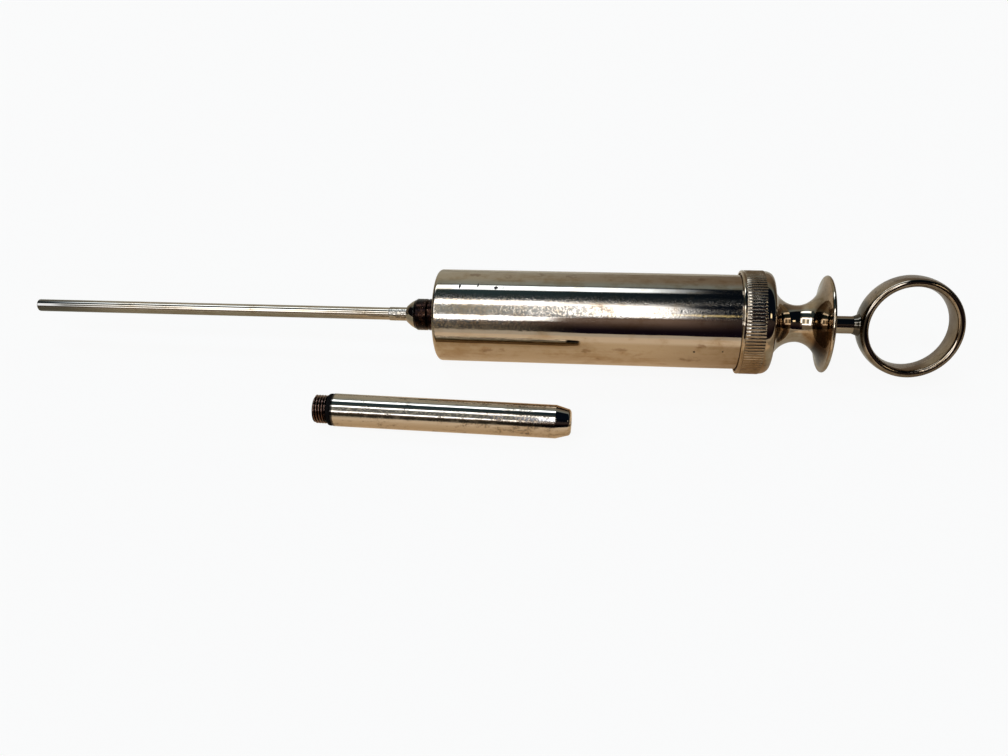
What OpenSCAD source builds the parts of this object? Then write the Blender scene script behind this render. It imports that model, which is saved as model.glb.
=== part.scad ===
// Brass dosing syringe for animals, nickel plated, lying on its side on a bench.
// The syringe's axis is X: the pipe points to -X and the thumb ring to +X.
// The origin is on the axis, at the middle of the bare barrel wall. Millimetres.

/* [Barrel] */
// Outside diameter of the drawn barrel
barrel_d = 32; // [28:0.5:38]
// Wall of the drawn barrel
barrel_wall = 0.8; // [0.6:0.1:1.2]
// Bare length of the barrel, from its closed front to the cap
bare_l = 103.4; // [80:0.2:130]
// Thickness of the closed front
front_t = 1.2; // [1:0.1:2]
// Radius round the edge of the closed front
front_round = 1.5; // [1.4:0.1:3]
// Height of the threaded collar above the barrel
collar_t = 0.55; // [0.4:0.05:0.9]
// Length of the threaded collar
collar_l = 7.5; // [5:0.1:9]
// Depth of the seat turned in the barrel for the collar
collar_seat = 0.25; // [0.2:0.05:0.4]

/* [Screw cap] */
// Wall of the cap under its knurl
cap_wall = 0.75; // [0.5:0.05:1.4]
// Thickness of the cap's end
cap_end_t = 1.6; // [1.2:0.1:2.4]
// Number of ridges of the straight knurl
knurl_n = 96; // [60:1:130]
// Height of a ridge
knurl_h = 0.3; // [0.15:0.05:0.5]
// Plain bead in front of the knurl
bead_l = 1.2; // [0.6:0.1:2]
// Height of the cap's smooth round shoulder
shoulder_r = 2.3; // [1:0.1:2.6]
// Length of the cap's smooth round shoulder
shoulder_l = 3.2; // [1:0.1:4]
// Step from the knurl down to the shoulder
shoulder_step = 0.1; // [0.05:0.05:0.2]
// Radius of the bead's front edge
bead_edge = 0.5; // [0.3:0.1:0.7]
// Thickness of the leather gasket in the cap
gasket_t = 1.4; // [0.8:0.1:2]
// Width of the leather gasket
gasket_w = 2.9; // [2:0.1:4]
// Hole in the cap's end for the grip's spigot
spigot_d = 12; // [9:0.1:16]

/* [Finger grip] */
// Length of the grip from the cap to the widest point of its flange
grip_l = 18; // [14:0.1:24]
// Diameter of the waist
waist_d = 12.4; // [10:0.1:16]
// Distance of the waist from the cap
waist_x = 8.7; // [6:0.1:11]
// Diameter of the flare where it meets the cap
foot_d = 29; // [20:0.1:30]
// Slope of the flare where it meets the cap
foot_a = 82; // [60:1:88]
// Slope of the flare where it meets the flange's rim
flare_a = 80; // [60:1:88]
// Diameter of the flange
flange_d = 32.6; // [28:0.1:40]
// Thickness of the flange's rim
rim_t = 1.4; // [1:0.1:2.4]
// Rise of the flange's back from its rim to its centre
dome_h = 1; // [0.4:0.1:2]
// Width of the flat round the rod's hole in the flange
hole_edge = 1.2; // [0.6:0.1:2]

/* [Plunger] */
// Diameter of the plunger rod
rod_d = 5.9; // [4.8:0.1:7]
// Length of rod that shows behind the grip
rod_show = 7.5; // [6:0.1:20]
// Diameter of the screwed stem that carries the piston
stem_d = 4.4; // [3.5:0.1:4.6]
// Length of stem that shows past its nut
stem_end = 0.3; // [0.1:0.1:0.5]
// Finger hole of the ring
ring_hole_d = 27.2; // [22:0.2:32]
// Radial thickness of the ring
ring_t = 3.3; // [2.8:0.1:4.4]
// Width of the ring
ring_w = 10.4; // [6:0.1:12]
// Radius of the ring's two edges
ring_edge = 1; // [0.7:0.1:1.2]
// Turn of the ring about the rod
ring_turn = 64.6; // [0:0.1:90]
// Diameter of the brazed neck where it meets the ring
neck_d = 7.7; // [7.2:0.1:9]
// Length of the brazed neck
neck_l = 1.5; // [0.8:0.1:3]
// Thickness of the braze at the neck's front edge
braze_t = 0.1; // [0.05:0.05:0.3]

/* [Piston] */
// Gap between the piston and the nozzle boss when the plunger is home
home_gap = 0.6; // [0.3:0.1:3]
// Thickness of the cup leathers
leather_t = 1.6; // [1:0.1:2.2]
// Depth of the cup leathers
cup_h = 4.6; // [3.4:0.1:6]
// Thickness of the two brass plates
plate_t = 1.4; // [1:0.1:2]
// Thickness of the spacer between the leathers
spacer_t = 4; // [2:0.5:8]
// Radius of the bend in the cup leathers
cup_bend = 1; // [0.6:0.1:1.5]
// Gap between the front plate or the rear plate and its cup's lip
cup_room = 1; // [0.4:0.1:2]
// How far the spacer reaches past the plates
spacer_reach = 0.5; // [0:0.1:1.5]
// Width of the piston nut across its flats
nut_af = 9; // [8:0.5:11]
// Thickness of the piston nut
nut_t = 3.2; // [2:0.1:4]

/* [Nozzle screw] */
// Diameter over the screw of the pipe and of the spare nozzle
screw_d = 9.6; // [9:0.1:10.4]
// Length of the screw in front of its relief
screw_l = 5; // [4:0.1:8]
// Depth of the relief behind the screw
relief_h = 0.75; // [0.4:0.05:1]
// Thickness of the pipe's leather washer
washer_t = 2; // [1:0.1:2.5]
// Wall of the boss round the screw
boss_wall = 4.2; // [2:0.1:5]
// Width of the boss's rim that shows in the barrel's front
boss_rim = 1.4; // [0.8:0.1:2]
// Chamfer round the boss inside the barrel
boss_cut = 1; // [0.4:0.1:1.6]
// Chamfer on the ends of the screws
screw_cut = 0.6; // [0.3:0.1:0.9]

/* [Dosing pipe] */
// Outside diameter of the pipe
pipe_d = 4.4; // [3.4:0.1:5]
// Bore of the pipe
pipe_bore = 3; // [2:0.1:3.2]
// Length of the pipe in front of its hub
pipe_l = 141.4; // [80:0.1:200]
// Wall of the solder sleeve on the pipe
sleeve_wall = 0.2; // [0.2:0.05:0.5]
// Length of the solder sleeve
sleeve_l = 6.5; // [3:0.1:12]
// Diameter of the hub
hub_d = 11.1; // [10.4:0.1:14]
// Diameter of the hub's small end
hub_nose_d = 5.7; // [5.2:0.1:7]
// Length of the hub's rounded nose
hub_nose_l = 3.9; // [2:0.1:6]
// Length of the hub's collar behind its nose
hub_collar_l = 5.9; // [4.6:0.1:9]
// Depth of the V groove round the hub's collar
groove_h = 0.4; // [0.2:0.05:0.7]
// Distance of the V groove from the hub's shoulder
groove_x = 2; // [1:0.1:3]
// Bulge of the hub's nose, as a share of its rise
nose_bulge = 0.12; // [0:0.01:0.2]
// Step where the pipe is filed down to seat in its sleeve and hub
pipe_step = 0.2; // [0.16:0.01:0.25]
// Length of pipe held in the hub
pipe_seat_l = 7; // [4:0.1:8]

/* [Spare nozzle] */
// Diameter of the nozzle's tube
nozzle_d = 11; // [10.6:0.1:14]
// Length of the nozzle's tube
nozzle_l = 74.5; // [50:0.1:100]
// Wall of the nozzle's tube
nozzle_wall = 0.8; // [0.6:0.05:1.2]
// Thickness of the nozzle's leather washer
nozzle_washer_t = 1.5; // [1:0.1:2.5]
// Length of the nozzle's blunt nose
nose_l = 4.9; // [3:0.1:8]
// Diameter of the flat on the nose
nose_flat_d = 5.9; // [4.6:0.1:7]
// Diameter where the nose's cone runs into its rounded edge
nose_cone_d = 8.9; // [7.4:0.1:10]
// Length of the nose's rounded edge
nose_round = 1.2; // [0.4:0.1:2]
// Length of the nose that is soldered in the tube
nose_seat_l = 3; // [2:0.1:6]
// Hole in the nose
nose_hole_d = 2.9; // [2:0.1:4]
// Bore of the nozzle's screw
screw_bore_d = 5; // [3:0.1:5.6]
// Length of the screw's spigot that is soldered in the tube
screw_seat_l = 4.5; // [3:0.1:8]
// Place of the nozzle's shoulder along the bench
nozzle_x = -81.8; // [-140:0.1:0]
// Distance of the nozzle from the syringe's axis
nozzle_y = 40.6; // [30:0.1:80]
// Turn of the nozzle on the bench
nozzle_turn = -0.31; // [-8:0.01:8]

/* [Clearances] */
// Radial clearance of a part that turns on another
turn_gap = 0.05; // [0.02:0.01:0.1]
// Radial clearance of the leathers in the barrel
slide_gap = 0.03; // [0.01:0.01:0.05]
// Gap between the cap's edge and the collar inside it
edge_gap = 0.3; // [0.1:0.05:1]
// Radial gap round the gasket in the cap
gasket_gap = 0.25; // [0.1:0.05:0.5]
// How far a washer's rim lies inside the metal beside it
washer_inset = 0.1; // [0.02:0.01:0.3]
// Chamfer on the turned edges
edge_cut = 0.3; // [0.1:0.05:0.4]

/* [Hidden] */
$fn = 96;
arc_n = 8;
over = 1;
barrel_r = barrel_d / 2;
bore_r = barrel_r - barrel_wall;
rod_r = rod_d / 2;
stem_r = stem_d / 2;
screw_r = screw_d / 2;
hub_r = hub_d / 2;
pipe_r = pipe_d / 2;
pipe_seat_r = pipe_r - pipe_step;
nozzle_r = nozzle_d / 2;
nozzle_in_r = nozzle_r - nozzle_wall;
front_x = -bare_l / 2;
cap_x = bare_l / 2;
collar_x = cap_x + edge_gap;
tube_end_x = collar_x + collar_l;
collar_r = barrel_r + collar_t;
cap_bore_r = collar_r + turn_gap;
knurl_root_r = cap_bore_r + cap_wall;
cap_r = knurl_root_r + knurl_h;
cap_inner_x = tube_end_x + gasket_t;
cap_back_x = cap_inner_x + cap_end_t;
cap_l = cap_back_x - cap_x;
collar_seat_r = barrel_r - collar_seat;
rod_bore_r = rod_r + turn_gap;
flange_x = cap_back_x + grip_l;
flange_r = flange_d / 2;
grip_back_x = flange_x + rim_t / 2 + dome_h;
spigot_r = spigot_d / 2;
ring_r = ring_hole_d / 2 + ring_t / 2;
neck_x = grip_back_x + rod_show;
ring_x = neck_x + neck_l + ring_r + ring_t / 2;
rod_end_x = ring_x - ring_r - ring_t / 4;
relief_r = screw_r - relief_h;
boss_bore_r = screw_r + turn_gap;
boss_l = screw_l + home_gap;
boss_x = front_x + boss_l;
nut_x = boss_x + home_gap;
front_plate_x = nut_x + nut_t;
front_leather_x = front_plate_x + plate_t;
spacer_x = front_leather_x + leather_t;
rear_leather_x = spacer_x + spacer_t;
rear_plate_x = rear_leather_x + leather_t;
rod_x = rear_plate_x + plate_t;
leather_r = bore_r - slide_gap;
plate_r = leather_r - leather_t - cup_room;
hub_x = front_x - washer_t - hub_collar_l - hub_nose_l;
bench_tilt = atan((cap_r - barrel_r) / (cap_x + bead_l - front_x - front_round));

// Height of the bench under the syringe's axis at a place along it
function bench_z(x) = -barrel_r - (x - front_x - front_round) * tan(bench_tilt);

// Points of a round stretch: [radius from the axis, place along the axis]
function arc(r, x, size_r, size_x, a0, a1) =
    [for (i = [0:arc_n]) let (a = a0 + (a1 - a0) * i / arc_n) [r + size_r * cos(a), x + size_x * sin(a)]];

// A solid turned about X from an outline of [radius, place along X] points
module turned(outline) {
    rotate([0, 90, 0]) rotate_extrude() polygon(outline);
}

// A plain ring about X between two places
module ring(inner, outer, x0, x1) {
    turned([[inner, x0], [outer, x0], [outer, x1], [inner, x1]]);
}

// Lays the spare nozzle on the bench, its shoulder at the local origin
module on_bench() {
    translate([nozzle_x, -nozzle_y, bench_z(nozzle_x) + nozzle_r / cos(bench_tilt)])
        rotate([0, bench_tilt, 0])
            rotate([0, 0, nozzle_turn])
                children();
}

// Drawn shell, closed in front round the boss, turned down behind for the collar
module barrel() {
    color("silver") turned(concat(
        [[screw_r + boss_rim, front_x]],
        arc(barrel_r - front_round, front_x + front_round, front_round, front_round, -90, 0),
        [[barrel_r, collar_x], [collar_seat_r, collar_x],
            [collar_seat_r, tube_end_x], [bore_r, tube_end_x]],
        arc(bore_r - front_round / 2, front_x + front_t + front_round / 2,
            front_round / 2, front_round / 2, 0, -90),
        [[screw_r + boss_rim, front_x + front_t]]
    ));
}

// Bush brazed into the barrel's front, tapped for the pipe and the nozzles
module nozzle_boss() {
    flange = screw_r + boss_wall;
    color("darkgoldenrod") turned([
        [boss_bore_r, front_x], [screw_r + boss_rim, front_x],
        [screw_r + boss_rim, front_x + front_t], [flange, front_x + front_t],
        [flange, boss_x - boss_cut], [flange - boss_cut, boss_x], [boss_bore_r, boss_x]
    ]);
}

// Threaded ring soldered round the barrel's open end
module thread_collar() {
    color("darkgoldenrod") turned([
        [collar_seat_r, collar_x], [collar_r - edge_cut, collar_x], [collar_r, collar_x + edge_cut],
        [collar_r, tube_end_x - edge_cut], [collar_r - edge_cut, tube_end_x], [collar_seat_r, tube_end_x]
    ]);
}

// Outline of a straight knurl, one ridge for each point at the full radius
function knurl_points(n) =
    [for (i = [0:2 * n - 1]) let (r = cap_r - knurl_h * (i % 2), a = 180 * i / n) [r * cos(a), r * sin(a)]];

// Cap with a plain bead, a straight knurl and a smooth shoulder
module screw_cap() {
    bead_r = cap_r - knurl_h / 3;
    knurl_x = cap_x + bead_l;
    knurl_end_x = cap_back_x - shoulder_l;
    color("silver") difference() {
        union() {
            turned(concat(
                [[cap_bore_r, cap_x]],
                arc(bead_r - bead_edge, cap_x + bead_edge, bead_edge, bead_edge, -90, 0),
                [[bead_r, knurl_x - knurl_h], [knurl_root_r, knurl_x],
                    [knurl_root_r, knurl_end_x], [cap_r - shoulder_step, knurl_end_x]],
                arc(cap_r - shoulder_step - shoulder_r, knurl_end_x, shoulder_r, shoulder_l, 0, 90),
                [[spigot_r, cap_back_x], [spigot_r, cap_inner_x], [cap_bore_r, cap_inner_x]]
            ));
            translate([knurl_x, 0, 0])
                rotate([0, 90, 0])
                    linear_extrude(knurl_end_x - knurl_x) polygon(knurl_points(knurl_n));
        }
        translate([cap_x - over, 0, 0]) rotate([0, 90, 0])
            cylinder(r = cap_bore_r, h = cap_inner_x - cap_x + over);
        translate([cap_x, 0, 0]) rotate([0, 90, 0]) cylinder(r = spigot_r, h = cap_l + over);
    }
}

// Waisted spool soldered into the cap, the fingers' rest, bored for the rod
module finger_grip() {
    waist = cap_back_x + waist_x;
    waist_r = waist_d / 2;
    foot_r = foot_d / 2;
    foot_rise = (foot_r - waist_r) / (1 - cos(foot_a));
    lip_h = rim_t * 0.6;
    rim_r = flange_r - lip_h;
    rim_x = flange_x - rim_t / 2;
    flare_rise = (rim_r - waist_r) / (1 - cos(flare_a));
    hole_edge_r = rod_bore_r + hole_edge;
    color("silver") turned(concat(
        [[rod_bore_r, cap_inner_x], [spigot_r, cap_inner_x], [spigot_r, cap_back_x], [foot_r, cap_back_x]],
        arc(waist_r + foot_rise, waist, foot_rise, waist_x / sin(foot_a), foot_a - 180, -180),
        arc(waist_r + flare_rise, waist, flare_rise, (rim_x - waist) / sin(flare_a), 180, 180 - flare_a),
        arc(rim_r, flange_x, lip_h, rim_t / 2, -90, 90),
        [for (t = [0.2:0.2:1]) [rim_r + (hole_edge_r - rim_r) * t, grip_back_x - dome_h * pow(1 - t, 2)]],
        [[rod_bore_r, grip_back_x]]
    ));
}

// Leather ring in the cap, squeezed on the barrel's open end
module cap_gasket() {
    gasket_r = cap_bore_r - gasket_gap;
    color("saddlebrown") ring(gasket_r - gasket_w, gasket_r, tube_end_x, cap_inner_x);
}

// Rod, stepped down in front to a screwed stem
module plunger_rod() {
    stem_x = nut_x - stem_end;
    color("silver") turned([
        [0, stem_x], [stem_r - edge_cut, stem_x], [stem_r, stem_x + edge_cut], [stem_r, rod_x],
        [rod_r, rod_x], [rod_r, rod_end_x], [0, rod_end_x]
    ]);
}

// Oval outline from four arcs, tall in Y: half sizes a and b, ends of radius e
module oval(a, b, e) {
    side = (a * a + pow(b - e, 2) - e * e) / (2 * (a - e));
    join = (b - e) * side / (side - e);
    intersection() {
        translate([side - a, 0]) circle(side);
        translate([a - side, 0]) circle(side);
        square([2 * a, 2 * join], center = true);
    }
    for (y = [e - b, b - e]) translate([0, y]) circle(e);
}

// Thumb ring of oval section with the neck that is brazed to the rod
module ring_handle() {
    neck_r = neck_d / 2;
    foot_x = neck_x + neck_l;
    neck_end_x = foot_x + ring_t / 2;
    color("silver") difference() {
        union() {
            translate([ring_x, 0, 0]) rotate([ring_turn, 0, 0])
                rotate_extrude() translate([ring_r, 0]) oval(ring_t / 2, ring_w / 2, ring_edge);
            turned([
                [0, neck_x], [rod_r + braze_t, neck_x], [rod_r + 2 * braze_t, neck_x + neck_l / 2],
                [neck_r, foot_x + edge_cut], [neck_r, neck_end_x], [0, neck_end_x]
            ]);
        }
        translate([neck_x - over, 0, 0]) rotate([0, 90, 0])
            cylinder(r = rod_r, h = rod_end_x - neck_x + over);
    }
}

// Hexagon nut that clamps the piston on the stem
module piston_nut() {
    color("goldenrod") translate([nut_x, 0, 0]) rotate([0, 90, 0]) difference() {
        cylinder(d = nut_af / cos(30), h = nut_t, $fn = 6);
        translate([0, 0, -over]) cylinder(r = stem_r, h = nut_t + 2 * over);
    }
}

// Brass plate inside the front cup
module piston_front_plate() {
    color("goldenrod") ring(stem_r, plate_r, front_plate_x, front_leather_x);
}

// A cup leather with its web at web_x and its lip reaching to one side
module cup_leather(web_x, side) {
    lip_r = leather_r - leather_t;
    back_x = web_x + (side > 0 ? 0 : leather_t);
    web_in_x = back_x + side * leather_t;
    lip_x = back_x + side * cup_h;
    bend_r = leather_r - cup_bend;
    color("saddlebrown") turned(concat(
        [[stem_r + turn_gap, web_in_x], [stem_r + turn_gap, back_x], [bend_r, back_x]],
        [for (a = [15:15:90]) [bend_r + cup_bend * sin(a), back_x + side * cup_bend * (1 - cos(a))]],
        [[leather_r, lip_x], [leather_r - leather_t / 2, lip_x], [lip_r, lip_x - side * leather_t / 2],
            [lip_r, web_in_x]]
    ));
}

// Cup leather that opens to the front and drives the dose out
module front_leather() {
    cup_leather(front_leather_x, -1);
}

// Brass disc between the two leathers
module piston_spacer() {
    color("goldenrod") ring(stem_r, plate_r + spacer_reach, spacer_x, rear_leather_x);
}

// Cup leather that opens to the rear and draws the dose in
module rear_leather() {
    cup_leather(rear_leather_x, 1);
}

// Brass plate inside the rear cup, against the rod's step
module piston_rear_plate() {
    color("goldenrod") ring(stem_r, plate_r, rear_plate_x, rod_x);
}

// Long thin pipe with a rounded open tip, held in the hub
module dosing_pipe() {
    wall = pipe_r - pipe_bore / 2;
    tip_x = hub_x - pipe_l;
    sleeve_x = hub_x - sleeve_l;
    color("silver") turned(concat(
        arc(pipe_r - wall / 2, tip_x + wall / 2, wall / 2, wall / 2, -180, 0),
        [[pipe_r, sleeve_x], [pipe_seat_r, sleeve_x], [pipe_seat_r, hub_x + pipe_seat_l],
            [pipe_bore / 2, hub_x + pipe_seat_l]]
    ));
}

// Sleeve soldered over the pipe where it leaves the hub
module solder_sleeve() {
    sleeve_r = pipe_r + sleeve_wall;
    color("silver") turned([
        [pipe_seat_r, hub_x - sleeve_l], [sleeve_r - sleeve_wall / 2, hub_x - sleeve_l],
        [sleeve_r, hub_x - sleeve_l + sleeve_wall], [sleeve_r, hub_x], [pipe_seat_r, hub_x]
    ]);
}

// Outline of a screw on side +1 or -1 of its shoulder at x, past a relief for the washer
function screw_points(x, side, relief_l, bore) = [
    [relief_r, x], [relief_r, x + side * relief_l], [screw_r, x + side * (relief_l + edge_cut)],
    [screw_r, x + side * (relief_l + screw_l - screw_cut)],
    [screw_r - screw_cut, x + side * (relief_l + screw_l)],
    [bore, x + side * (relief_l + screw_l)]
];

// Hub with a rounded nose, a grooved collar and the screw that fits the boss
module pipe_hub() {
    collar_x0 = hub_x + hub_nose_l;
    shoulder_x = collar_x0 + hub_collar_l;
    vee_x = shoulder_x - groove_x;
    nose_x1 = collar_x0 - edge_cut;
    nose_r = hub_nose_d / 2;
    color("dimgray") turned(concat(
        [[pipe_seat_r, hub_x + pipe_seat_l], [pipe_seat_r, hub_x]],
        [for (i = [0:arc_n]) let (t = i / arc_n)
            [nose_r + (hub_r - edge_cut - nose_r) * (t + nose_bulge * sin(180 * t)),
                hub_x + (nose_x1 - hub_x) * t]],
        [[hub_r, collar_x0], [hub_r, vee_x - groove_h], [hub_r - groove_h, vee_x],
            [hub_r, vee_x + groove_h], [hub_r, shoulder_x]],
        screw_points(shoulder_x, 1, washer_t, pipe_bore / 2),
        [[pipe_bore / 2, hub_x + pipe_seat_l]]
    ));
}

// Leather washer between the hub and the barrel's front
module pipe_washer() {
    color("saddlebrown") ring(relief_r + turn_gap, hub_r - washer_inset, front_x - washer_t, front_x);
}

// Plain tube of the spare nozzle
module nozzle_tube() {
    color("silver") on_bench() ring(nozzle_in_r, nozzle_r, 0, nozzle_l);
}

// Blunt nose soldered in the tube's far end
module nozzle_nose() {
    hole_r = nose_hole_d / 2;
    flat_r = nose_flat_d / 2;
    seat_x = nozzle_l - nose_seat_l;
    end_x = nozzle_l + nose_l;
    color("silver") on_bench() turned(concat(
        [[hole_r, seat_x], [nozzle_in_r, seat_x], [nozzle_in_r, nozzle_l], [nozzle_r, nozzle_l]],
        arc(flat_r, end_x - nose_round, nose_cone_d / 2 - flat_r, nose_round, 0, 90),
        [[hole_r, end_x]]
    ));
}

// Screw soldered in the tube's near end
module nozzle_screw() {
    bore_r = screw_bore_d / 2;
    color("saddlebrown") on_bench() turned(concat(
        [[bore_r, screw_seat_l], [nozzle_in_r, screw_seat_l], [nozzle_in_r, 0]],
        screw_points(0, -1, nozzle_washer_t, bore_r)
    ));
}

// Leather washer of the spare nozzle
module nozzle_washer() {
    color("black") on_bench() ring(relief_r, nozzle_r - washer_inset, -nozzle_washer_t, 0);
}

barrel();
nozzle_boss();
thread_collar();
screw_cap();
finger_grip();
cap_gasket();
plunger_rod();
ring_handle();
piston_nut();
piston_front_plate();
front_leather();
piston_spacer();
rear_leather();
piston_rear_plate();
dosing_pipe();
solder_sleeve();
pipe_hub();
pipe_washer();
nozzle_tube();
nozzle_nose();
nozzle_screw();
nozzle_washer();
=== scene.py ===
from math import asin, atan2, cos, degrees, pi, radians, sin, tan

import bpy
from mathutils import Matrix


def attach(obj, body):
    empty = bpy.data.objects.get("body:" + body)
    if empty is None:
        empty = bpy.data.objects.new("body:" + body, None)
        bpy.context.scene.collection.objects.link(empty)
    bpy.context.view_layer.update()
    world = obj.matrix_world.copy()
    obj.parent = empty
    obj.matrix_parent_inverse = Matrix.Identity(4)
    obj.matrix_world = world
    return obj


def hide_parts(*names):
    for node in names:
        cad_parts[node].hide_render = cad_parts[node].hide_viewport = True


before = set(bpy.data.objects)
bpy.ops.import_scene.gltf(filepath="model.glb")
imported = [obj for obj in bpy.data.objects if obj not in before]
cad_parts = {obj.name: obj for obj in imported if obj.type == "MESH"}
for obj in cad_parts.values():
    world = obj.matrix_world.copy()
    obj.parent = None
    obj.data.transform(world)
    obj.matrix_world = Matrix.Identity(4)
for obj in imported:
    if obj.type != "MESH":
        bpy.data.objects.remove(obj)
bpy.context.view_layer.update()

# Barrel
# The real barrel is a drawn brass shell, closed in front with a rolled edge and plated with nickel.
# Years of handling left warm tarnish over the plate, brown smudges, worn hazy patches and a few dark pits.
MM = 0.001
WELD = MM * 0.002
BARREL_R = 16
BORE_R = 15.2
BARREL_FRONT = -51.7
FRONT_INSIDE = -50.5
FRONT_ROUND = 1.5
INNER_ROUND = 0.75
BOSS_RIM_R = 6.2
SEAT_R = 15.75
SEAT_START = 52
MOUTH = 59.5
CLEAN_NICKEL = (0.48, 0.39, 0.29, 1)
WARM_TARNISH = (0.39, 0.285, 0.18, 1)
BROWN_BLOTCH = (0.20, 0.105, 0.055, 1)
WORN_SPECK = (0.12, 0.105, 0.085, 1)
BLACK_PIT = (0.01, 0.008, 0.008, 1)
BARREL_PITS = (
    (-42.4, -15, 0.45, 1.3), (-36.2, -13.8, 0.35, 1.0), (-30, -16.6, 0.75, 0.8), (-27.6, -16.8, 0.35, 0.35),
    (-25.9, -16.5, 0.3, 0.3), (36.8, -92.5, 0.4, 0.4), (46.1, -91.2, 0.35, 0.35),
)
BARREL_SMUDGES = (
    (-38, 6.9, 2.2, 1.6), (-26.3, 3.5, 1.5, 1.1), (-15.7, 10.3, 2, 1.5), (-4.8, 9.2, 2.4, 1.6),
    (37, 6.5, 3.2, 1.3), (-32, -101, 3.4, 1.4), (-28, -98.6, 1.6, 1.2), (12.4, -92.7, 3, 0.8),
    (38.5, -84, 2.6, 0.9), (0.7, -96, 2, 1), (35, -107, 3.4, 1.6), (39.5, -109, 2.2, 1),
    (19, -104, 2.2, 1.2), (36.6, -103, 4.2, 1.1),
)


def arc(radius, place, size_r, size_x, start, end, parts=10):
    """Points of a round stretch of an outline, as (radius, place along the axis)."""
    angles = [radians(start + (end - start) * i / parts) for i in range(parts + 1)]
    return [(radius + size_r * cos(a), place + size_x * sin(a)) for a in angles]


def turned(name, outline, steps=144, smooth=32):
    """Turns a closed outline of (radius, place) points in millimetres about the X axis."""
    bpy.ops.object.select_all(action="DESELECT")
    bpy.ops.mesh.primitive_plane_add(size=MM)
    piece = bpy.context.object
    piece.name = name
    piece.data.name = name
    bpy.ops.object.mode_set(mode="EDIT")
    bpy.ops.mesh.merge(type="CENTER")
    radius, place = outline[0]
    bpy.ops.transform.translate(value=(place * MM, 0, radius * MM))
    for next_radius, next_place in outline[1:] + outline[:1]:
        step = ((next_place - place) * MM, 0, (next_radius - radius) * MM)
        bpy.ops.mesh.extrude_region_move(TRANSFORM_OT_translate={"value": step})
        radius, place = next_radius, next_place
    bpy.ops.mesh.select_all(action="SELECT")
    bpy.ops.mesh.remove_doubles(threshold=WELD)
    bpy.ops.mesh.spin(steps=steps, angle=2 * pi, center=(0, 0, 0), axis=(1, 0, 0))
    bpy.ops.mesh.select_all(action="SELECT")
    bpy.ops.mesh.remove_doubles(threshold=WELD)
    bpy.ops.mesh.normals_make_consistent(inside=False)
    bpy.ops.object.mode_set(mode="OBJECT")
    bpy.ops.object.shade_smooth_by_angle(angle=radians(smooth))
    return piece


class Term:
    """A shader socket that Python's operators work on."""

    def __init__(self, finish, socket):
        self.finish = finish
        self.socket = socket

    def math(self, operation, *others):
        values = {i: other for i, other in enumerate((self,) + others)}
        return self.finish.node("ShaderNodeMath", {"operation": operation}, values)

    def __add__(self, other):
        return self.math("ADD", other)

    def __sub__(self, other):
        return self.math("SUBTRACT", other)

    def __mul__(self, other):
        return self.math("MULTIPLY", other)

    def __truediv__(self, other):
        return self.math("DIVIDE", other)

    def __rsub__(self, other):
        return self.math("MULTIPLY", -1).math("ADD", other)

    def __pow__(self, other):
        return self.math("POWER", other)

    __radd__ = __add__
    __rmul__ = __mul__

    def rise(self, low, high):
        """0 below low, 1 above high, smooth between."""
        settings = {"interpolation_type": "SMOOTHSTEP"}
        return self.finish.node("ShaderNodeMapRange", settings, {0: self, 1: low, 2: high})

    def band(self, low, high, edge):
        """1 between low and high, 0 outside, smooth over edge."""
        return self.rise(low - edge, low + edge) * (1 - self.rise(high - edge, high + edge))


class Finish:
    """A material, with its Principled shader's fixed values given by name."""

    def __init__(self, name, fixed=None):
        self.material = bpy.data.materials.new(name)
        self.material.use_nodes = True
        self.tree = self.material.node_tree
        self.shader = self.tree.nodes["Principled BSDF"]
        for socket, value in (fixed or {}).items():
            self.shader.inputs[socket].default_value = value

    def node(self, kind, settings=None, values=None, out=0):
        """Adds a node with its settings and the values or links of its sockets."""
        made = self.tree.nodes.new(kind)
        for name, value in (settings or {}).items():
            setattr(made, name, value)
        for name, value in (values or {}).items():
            if isinstance(value, Term):
                self.tree.links.new(value.socket, made.inputs[name])
            else:
                made.inputs[name].default_value = value
        return Term(self, made.outputs[out])

    def place(self):
        """The surface's own coordinates: a vector, and its three parts in millimetres."""
        vector = self.node("ShaderNodeTexCoord", out="Object")
        parts = [self.node("ShaderNodeSeparateXYZ", values={0: vector}, out=i) * 1000 for i in range(3)]
        return vector, parts

    def turn(self, across, up):
        """Angle from straight up, in degrees, of a point given across and up from an axis."""
        return self.node("ShaderNodeMath", {"operation": "ARCTAN2"}, {0: across, 1: up}) * degrees(1)

    def noise(self, vector, size, detail=3, stretch=(1, 1, 1), rough=0.5, seed=0):
        """Noise with features of about size millimetres, drawn out by stretch."""
        scale = [1000 / size / s for s in stretch]
        shifted = self.node("ShaderNodeMapping", values={0: vector, 1: (seed, seed * 0.7, -seed), 3: scale})
        values = {"Vector": shifted, "Scale": 1, "Detail": detail, "Roughness": rough}
        return self.node("ShaderNodeTexNoise", None, values)

    def mix(self, share, first, second, blend="MIX"):
        """First where share is 0, second where it is 1, for colours."""
        settings = {"data_type": "RGBA", "blend_type": blend}
        return self.node("ShaderNodeMix", settings, {0: share, 6: first, 7: second}, out=2)

    def bump(self, height, distance, strength=1.0, under=None):
        """A relief of distance millimetres, over the relief under it."""
        values = {"Height": height, "Distance": distance * MM, "Strength": strength}
        if under:
            values["Normal"] = under
        return self.node("ShaderNodeBump", None, values)

    def set(self, **links):
        """Links what varies over the surface: Base_Color, Roughness, Metallic or Normal."""
        for name, term in links.items():
            self.tree.links.new(term.socket, self.shader.inputs[name.replace("_", " ")])

    def wear(self, *pieces):
        """Puts the finish on pieces."""
        for piece in pieces:
            piece.data.materials.clear()
            piece.data.materials.append(self.material)


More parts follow.
